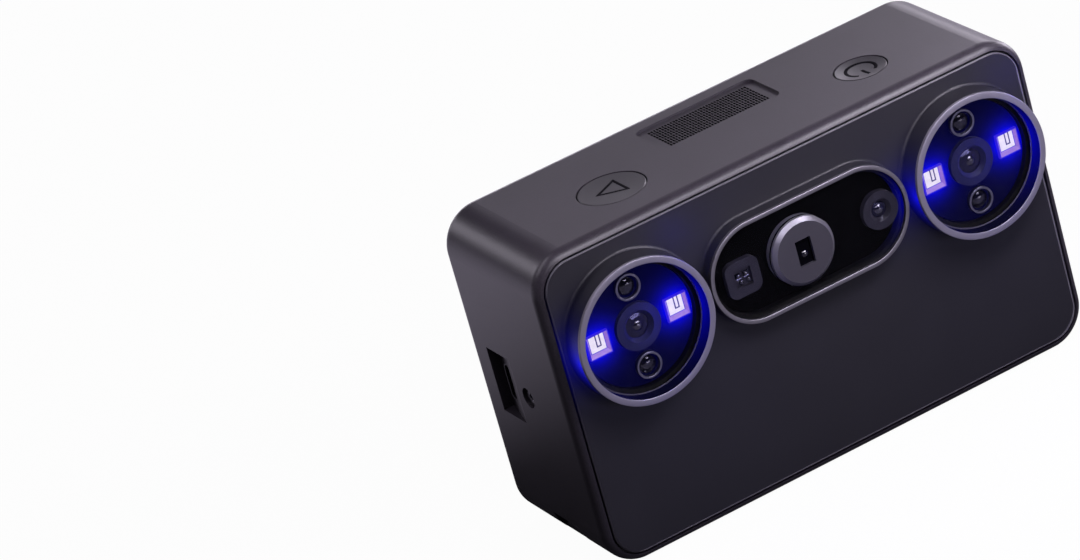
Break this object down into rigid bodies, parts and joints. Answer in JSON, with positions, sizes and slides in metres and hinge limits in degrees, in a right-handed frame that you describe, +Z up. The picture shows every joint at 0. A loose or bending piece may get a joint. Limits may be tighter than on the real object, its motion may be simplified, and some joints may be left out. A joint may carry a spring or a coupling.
{
  "type": "handheld three-d scanner",
  "caption": "Boxy handheld three-d scanner with round stereo camera windows, a projector pill, a rear display, top buttons, a hinged battery door and a tripod thread.",
  "frame": {"origin": "middle of the bottom face, under the centre of the whole part's box", "axes": "+Z up, -Y out of the front with the lenses, +X to the right seen from the front, towards the battery door"},
  "size_m": [0.125, 0.0486, 0.075],
  "materials": {
    "shell_plastic": "fine moulded texture",
    "front_plastic": "satin",
    "bezel_plastic": "satin",
    "cap_plastic": "satin",
    "ring_alloy": "anodised satin",
    "window_glass": "polished",
    "display_glass": "polished",
    "display_panel": "lit display",
    "optics_black": "matt black",
    "barrel_alloy": "machined and anodised",
    "lens_barrel": "semi-gloss black",
    "lens_glass": "coated",
    "blue_lamp": "lit blue",
    "circuit_board": "solder mask",
    "board_part": "moulded",
    "bare_steel": "turned",
    "dark_steel": "blackened",
    "bare_alloy": "milled",
    "contact_brass": "plated",
    "label_gloss": "gloss",
    "grille_plastic": "perforated",
    "fan_plastic": "moulded",
    "bay_plastic": "moulded",
    "battery_skin": "satin"
  },
  "bodies": {
    "casing": {"main_shell": "shell_plastic", "front_plate": "front_plastic", "rear_bezel": "bezel_plastic", "display_glass": "display_glass", "display_panel": "display_panel", "pill_rim": "ring_alloy", "pill_window": "window_glass", "projector_carrier": "optics_black", "projector_barrel": "barrel_alloy", "projector_window": "lens_glass", "range_module": "lens_barrel", "colour_camera": "lens_barrel", "optical_bench": "bare_alloy", "board_standoffs": "bare_steel", "main_board": "circuit_board", "heat_sink": "bare_alloy", "fan_frame": "fan_plastic", "top_grille": "grille_plastic", "bottom_grille": "grille_plastic", "scan_switch": "board_part", "scan_board": "circuit_board", "power_switch": "board_part", "power_board": "circuit_board", "usb_port": "bare_steel", "lock_insert": "dark_steel", "radio_panel": "shell_plastic", "mode_switch_body": "board_part", "antenna_board": "circuit_board", "microphone": "board_part", "hinge_pin": "bare_steel", "battery_bay": "bay_plastic", "battery_contacts": "contact_brass", "battery_pack": "battery_skin", "large_label": "label_gloss", "small_label": "label_gloss", "tripod_insert": "bare_steel", "corner_screws": "dark_steel", "lens_ring_left": "ring_alloy", "window_left": "window_glass", "light_board_left": "optics_black", "blue_lamps_left": "blue_lamp", "fill_lenses_left": "lens_glass", "camera_housing_left": "optics_black", "stereo_camera_left": "lens_barrel", "lens_ring_right": "ring_alloy", "window_right": "window_glass", "light_board_right": "optics_black", "blue_lamps_right": "blue_lamp", "fill_lenses_right": "lens_glass", "camera_housing_right": "optics_black", "stereo_camera_right": "lens_barrel"},
    "scan_cap": {"scan_button": "cap_plastic"},
    "power_cap": {"power_button": "cap_plastic"},
    "mode_knob": {"mode_switch": "cap_plastic"},
    "door": {"battery_door": "shell_plastic"},
    "latch": {"battery_latch": "cap_plastic"},
    "rotor": {"fan_rotor": "fan_plastic"}
  },
  "joints": [
    {"name": "scan_press", "type": "slide", "parent": "casing", "child": "scan_cap", "axis": [0, 0, -1], "range_m": [0, 0.0008], "stiffness_N_per_m": 1500},
    {"name": "power_press", "type": "slide", "parent": "casing", "child": "power_cap", "axis": [0, 0, -1], "range_m": [0, 0.0008], "stiffness_N_per_m": 1500},
    {"name": "mode_slide", "type": "slide", "parent": "casing", "child": "mode_knob", "axis": [0, 0, -1], "range_m": [0, 0.0019]},
    {"name": "door_hinge", "type": "hinge", "parent": "casing", "child": "door", "pos_m": [0.05949, 0.00313, 0.00432], "axis": [0, 1, 0], "range_deg": [0, 90]},
    {"name": "latch_slide", "type": "slide", "parent": "door", "child": "latch", "axis": [0, 0, 1], "range_m": [0, 0.0025]},
    {"name": "fan_spin", "type": "hinge", "parent": "casing", "child": "rotor", "pos_m": [0, 0.00962, 0.0688], "axis": [0, 0, 1], "continuous": true}
  ]
}
